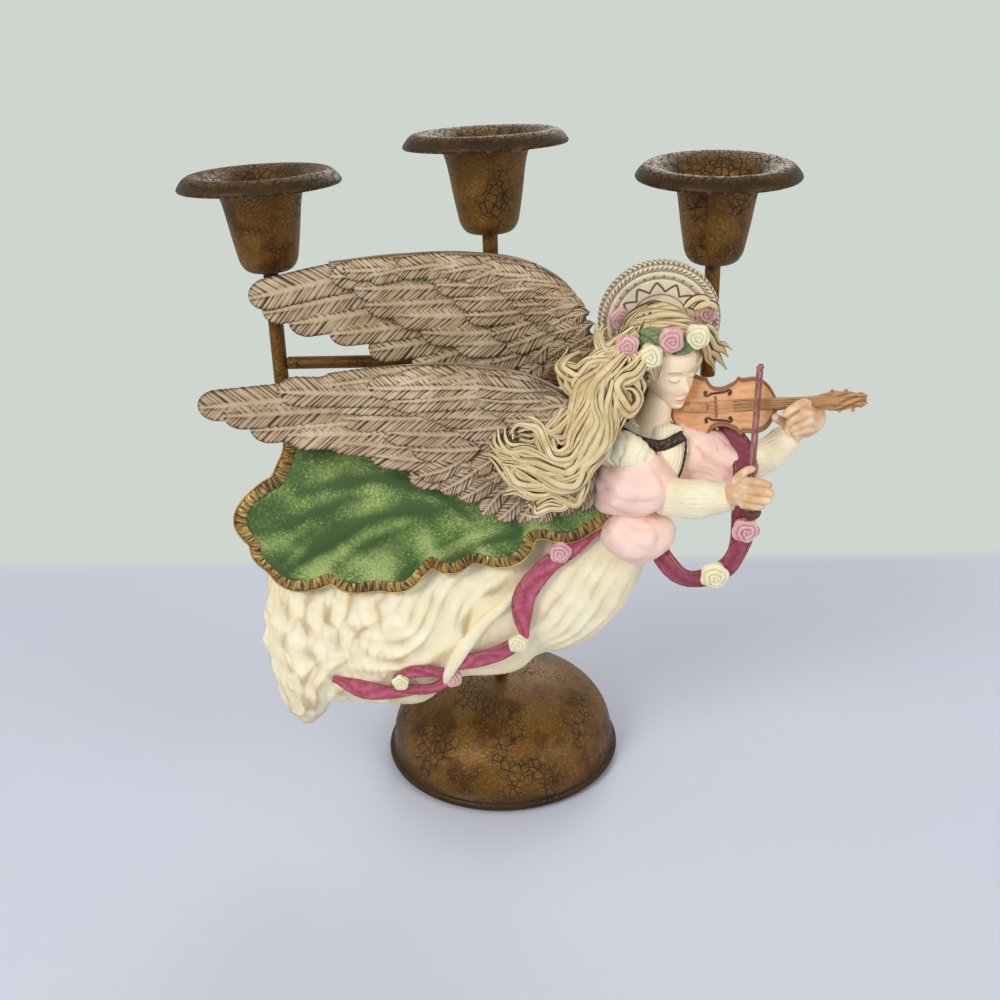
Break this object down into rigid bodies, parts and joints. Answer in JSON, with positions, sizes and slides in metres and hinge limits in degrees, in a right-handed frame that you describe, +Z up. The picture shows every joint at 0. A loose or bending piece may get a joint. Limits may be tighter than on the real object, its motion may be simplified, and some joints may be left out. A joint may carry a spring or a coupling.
{
  "type": "candelabra",
  "caption": "Candelabra with a domed foot, a central stem and a row of candle cups, carrying a flying angel figure that plays a violin.",
  "frame": {"origin": "middle of the felt under the domed foot, on the table", "axes": "+Z up, +X along the cross bar the way the angel flies, -Y towards the viewer, where the figure hangs in front of the stem"},
  "size_m": [0.2672, 0.1493, 0.2934],
  "materials": {
    "bronze_crackle": "aged bronze paint with a dark crackle, satin",
    "steel": "zinc-plated, satin",
    "felt": "dark green felt",
    "gown_ivory": "cast resin painted ivory, tan wash in the folds",
    "cape_green": "cast resin painted mottled moss green",
    "trim_gold": "cast resin, antique gold over dark brown",
    "sleeve_pink": "cast resin painted pale pink",
    "ribbon_burgundy": "cast resin painted burgundy with thin gold edges",
    "skin": "cast resin painted in a skin tone",
    "hair_blond": "cast resin painted blond, brown wash in the grooves",
    "feather_taupe": "cast resin, taupe with a brown wash and dry-brushed highlights",
    "violin_varnish": "cast resin painted as varnished wood",
    "violin_dark": "cast resin painted as dark wood",
    "bow_wood": "painted rod, red brown",
    "rose_pink": "cast resin painted dusty pink",
    "rose_cream": "cast resin painted cream",
    "leaf_green": "cast resin painted leaf green",
    "braid_dark": "cast resin, dark brown with gold flecks",
    "halo_ivory": "cast resin, ivory with an olive-brown wash"
  },
  "bodies": {
    "root": {"base_dome": "bronze_crackle", "base_felt": "felt", "bodice": "gown_ivory", "bow": "bow_wood", "bracket_screw_left": "steel", "bracket_screw_right": "steel", "cape": "cape_green", "cape_trim": "trim_gold", "centre_cup": "bronze_crackle", "centre_cup_screw": "steel", "far_forearm": "gown_ivory", "far_hand": "skin", "far_sleeve": "sleeve_pink", "far_wing": "feather_taupe", "figure_bracket": "bronze_crackle", "gown": "gown_ivory", "hair": "hair_blond", "halo": "halo_ivory", "head": "skin", "left_bar": "bronze_crackle", "left_cup": "bronze_crackle", "left_cup_screw": "steel", "left_upright": "bronze_crackle", "loop_rose_1": "rose_pink", "loop_rose_2": "rose_cream", "near_forearm": "gown_ivory", "near_hand": "skin", "near_sleeve_lower": "sleeve_pink", "near_sleeve_upper": "sleeve_pink", "near_wing": "feather_taupe", "neck": "skin", "neckline_braid": "braid_dark", "ribbon_loop": "ribbon_burgundy", "ribbon_swag": "ribbon_burgundy", "right_bar": "bronze_crackle", "right_cup": "bronze_crackle", "right_cup_screw": "steel", "right_upright": "bronze_crackle", "sash_middle": "ribbon_burgundy", "sash_rose_1": "rose_pink", "sash_rose_2": "rose_cream", "sash_rose_3": "rose_cream", "sash_rose_4": "rose_pink", "sash_tail": "ribbon_burgundy", "sash_upper": "ribbon_burgundy", "stem": "bronze_crackle", "stem_nut": "steel", "stem_washer": "steel", "violin_body": "violin_varnish", "violin_neck": "violin_dark", "violin_tailpiece": "violin_dark", "wreath_leaf_left": "leaf_green", "wreath_leaf_right": "leaf_green", "wreath_rose_1": "rose_pink", "wreath_rose_2": "rose_pink", "wreath_rose_3": "rose_cream", "wreath_rose_4": "rose_pink", "wreath_rose_5": "rose_cream", "wreath_rose_6": "rose_pink"}
  },
  "joints": []
}
